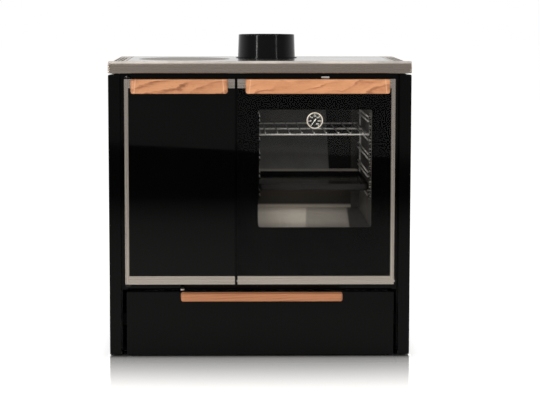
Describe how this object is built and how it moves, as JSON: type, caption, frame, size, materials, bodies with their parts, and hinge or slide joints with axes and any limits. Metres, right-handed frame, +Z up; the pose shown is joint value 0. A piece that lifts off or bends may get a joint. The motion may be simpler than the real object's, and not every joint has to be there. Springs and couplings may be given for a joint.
{
  "type": "wood cookstove",
  "caption": "Free-standing wood-burning cooker with steel hob, flue collar, glazed fire door, drop-down glass oven door, wooden rail handles and a fuel drawer.",
  "frame": {"origin": "floor level, under the centre of the outline including the handles", "axes": "+X to the right seen from the front, +Y to the back, +Z up"},
  "size_m": [0.9, 0.636, 0.953],
  "materials": {
    "stainless": "brushed",
    "polished_steel": "finely ground and polished",
    "gloss_black": "gloss enamel",
    "black_steel": "heat-resistant satin black",
    "black_glass": "gloss black printed glass",
    "clear_glass": "clear",
    "wood": "oiled solid wood",
    "cast_iron": "as cast",
    "enamel_black": "vitreous enamel",
    "firebrick": "refractory",
    "chrome": "polished",
    "galvanised": "zinc coated",
    "seal_rope": "woven glass-fibre rope",
    "dial": "matt, printed scale",
    "needle": "satin",
    "foot": "moulded"
  },
  "bodies": {
    "stove": {"side_panel_left": "gloss_black", "side_panel_right": "gloss_black", "body_shell": "black_steel", "base_pan": "black_steel", "levelling_feet": "foot", "mid_deck": "galvanised", "front_frame": "gloss_black", "back_panel": "black_steel", "firebox_shell": "black_steel", "fire_bed": "cast_iron", "fire_grate": "cast_iron", "firebricks": "firebrick", "log_guard": "cast_iron", "ash_pan": "galvanised", "oven_box": "stainless", "oven_ladders": "chrome", "wire_shelf": "chrome", "baking_tray": "enamel_black", "hob_frame": "stainless", "hob_plate": "polished_steel", "flue_collar": "gloss_black", "flue_box": "black_steel", "fire_hinge_pins": "black_steel", "fire_hinge_brackets": "black_steel", "catch_keeper": "galvanised", "oven_hinge_ears": "black_steel", "oven_hinge_pins": "chrome", "drawer_runners": "black_steel"},
    "fire_door": {"fire_door_pan": "black_steel", "fire_door_trim": "stainless", "fire_door_liner": "black_steel", "fire_door_glass": "black_glass", "fire_door_seal": "seal_rope", "fire_door_handle": "wood", "fire_door_catch": "galvanised"},
    "oven_door": {"oven_door_pan": "black_steel", "oven_door_trim": "stainless", "oven_door_liner": "stainless", "oven_door_glass": "clear_glass", "oven_door_mask": "black_glass", "oven_inner_glass": "clear_glass", "oven_glass_clips": "galvanised", "oven_door_seal": "seal_rope", "oven_door_handle": "wood", "thermometer_case": "chrome", "thermometer_dial": "dial", "thermometer_lens": "clear_glass"},
    "needle": {"thermometer_needle": "needle"},
    "drawer": {"drawer_front": "gloss_black", "drawer_box": "galvanised", "drawer_handle": "wood", "drawer_slides": "galvanised"},
    "ring": {"hob_ring": "polished_steel"},
    "lid": {"hob_lid": "polished_steel"},
    "damper": {"damper_slide": "black_steel", "damper_knob": "chrome"},
    "air_control": {"air_slide": "galvanised", "air_knob": "chrome"}
  },
  "joints": [
    {"name": "fire_door_hinge", "type": "hinge", "parent": "stove", "child": "fire_door", "pos_m": [-0.395, -0.27, 0.217], "axis": [0, 0, -1], "range_deg": [0, 95]},
    {"name": "oven_door_hinge", "type": "hinge", "parent": "stove", "child": "oven_door", "pos_m": [0.168, -0.266, 0.225], "axis": [1, 0, 0], "range_deg": [0, 90]},
    {"name": "drawer_slide", "type": "slide", "parent": "stove", "child": "drawer", "axis": [0, -1, 0], "range_m": [0, 0.4]},
    {"name": "ring_lift", "type": "slide", "parent": "stove", "child": "ring", "axis": [0, 0, 1], "range_m": [0, 0.12]},
    {"name": "lid_lift", "type": "slide", "parent": "ring", "child": "lid", "axis": [0, 0, 1], "range_m": [0, 0.12]},
    {"name": "damper_pull", "type": "slide", "parent": "stove", "child": "damper", "axis": [0, -1, 0], "range_m": [0, 0.06]},
    {"name": "air_pull", "type": "slide", "parent": "stove", "child": "air_control", "axis": [0, -1, 0], "range_m": [0, 0.025]},
    {"name": "needle_turn", "type": "hinge", "parent": "oven_door", "child": "needle", "pos_m": [0.16275, -0.2836, 0.7095], "axis": [0, 1, 0], "range_deg": [0, 290]}
  ]
}
